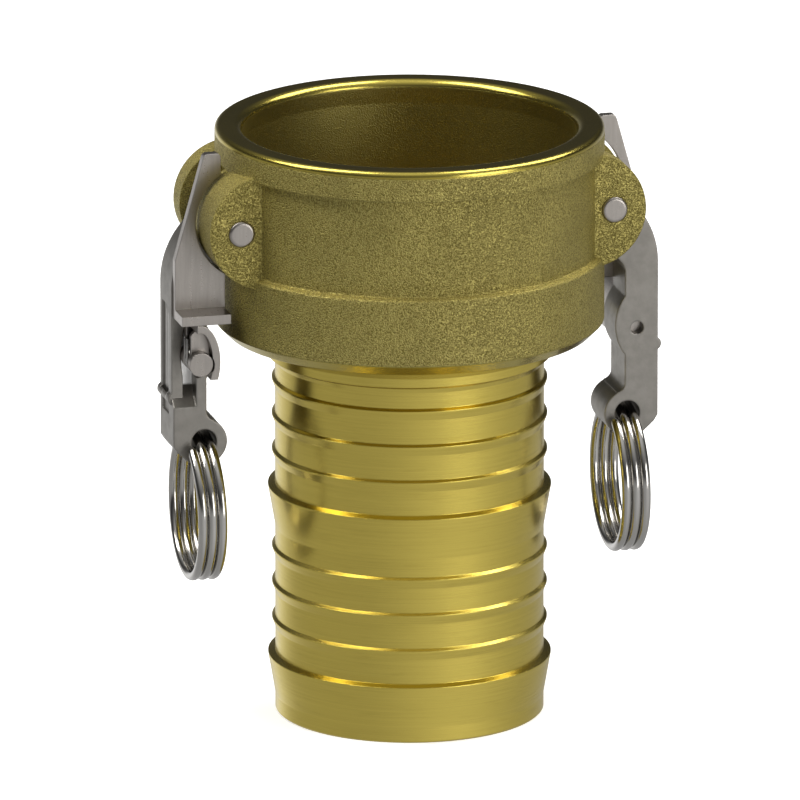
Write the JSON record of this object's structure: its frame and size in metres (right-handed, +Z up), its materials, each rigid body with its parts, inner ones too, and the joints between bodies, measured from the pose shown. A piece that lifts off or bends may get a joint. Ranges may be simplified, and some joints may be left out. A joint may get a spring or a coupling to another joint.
{
  "type": "camlock hose coupling",
  "caption": "Brass cam and groove coupler with a barbed hose shank, steel cam arms with sprung locks, and split finger rings.",
  "frame": {"origin": "on the bore's axis, in the plane of the shank's lower end", "axes": "+Z up the bore towards the socket's mouth, +X towards the right arm, -Y towards the front"},
  "size_m": [0.1402, 0.1078, 0.1676],
  "materials": {
    "cast_brass": "sand cast, bead blasted",
    "turned_brass": "turned",
    "gasket_rubber": "smooth",
    "cast_steel": "investment cast, satin",
    "plated_steel": "satin",
    "spring_steel": "drawn wire",
    "ring_steel": "polished wire"
  },
  "bodies": {
    "coupler": {"coupler_body": "cast_brass", "hose_shank": "turned_brass", "gasket": "gasket_rubber", "arm_pin_left": "plated_steel", "arm_pin_right": "plated_steel"},
    "arm_left": {"cam_arm_left": "cast_steel", "lock_pin_left": "plated_steel"},
    "arm_right": {"cam_arm_right": "cast_steel", "lock_pin_right": "plated_steel"},
    "lock_left": {"lock_latch_left": "plated_steel", "spring_keeper_left": "plated_steel", "lock_spring_left": "spring_steel"},
    "lock_right": {"lock_latch_right": "plated_steel", "spring_keeper_right": "plated_steel", "lock_spring_right": "spring_steel"},
    "ring_left": {"finger_ring_left": "ring_steel"},
    "ring_right": {"finger_ring_right": "ring_steel"}
  },
  "joints": [
    {"name": "arm_right_pivot", "type": "hinge", "parent": "coupler", "child": "arm_right", "pos_m": [0.053, 0, 0.1448], "axis": [0, -1, 0], "range_deg": [0, 90]},
    {"name": "arm_left_pivot", "type": "hinge", "parent": "coupler", "child": "arm_left", "pos_m": [-0.053, 0, 0.1448], "axis": [0, 1, 0], "range_deg": [0, 90]},
    {"name": "lock_right_pivot", "type": "hinge", "parent": "arm_right", "child": "lock_right", "pos_m": [0.06315, 0, 0.1067], "axis": [0, 1, 0], "range_deg": [0, 36]},
    {"name": "lock_left_pivot", "type": "hinge", "parent": "arm_left", "child": "lock_left", "pos_m": [-0.06315, 0, 0.1067], "axis": [0, -1, 0], "range_deg": [0, 36]},
    {"name": "ring_right_swing", "type": "hinge", "parent": "arm_right", "child": "ring_right", "pos_m": [0.0604, 0, 0.0823], "axis": [0, -1, 0], "range_deg": [-20, 100]},
    {"name": "ring_left_swing", "type": "hinge", "parent": "arm_left", "child": "ring_left", "pos_m": [-0.0604, 0, 0.0823], "axis": [0, 1, 0], "range_deg": [-20, 100]}
  ],
  "couplings": [
    {"joint": "lock_right_pivot", "follows": "arm_right_pivot", "ratio": 0.4},
    {"joint": "lock_left_pivot", "follows": "arm_left_pivot", "ratio": 0.4}
  ]
}
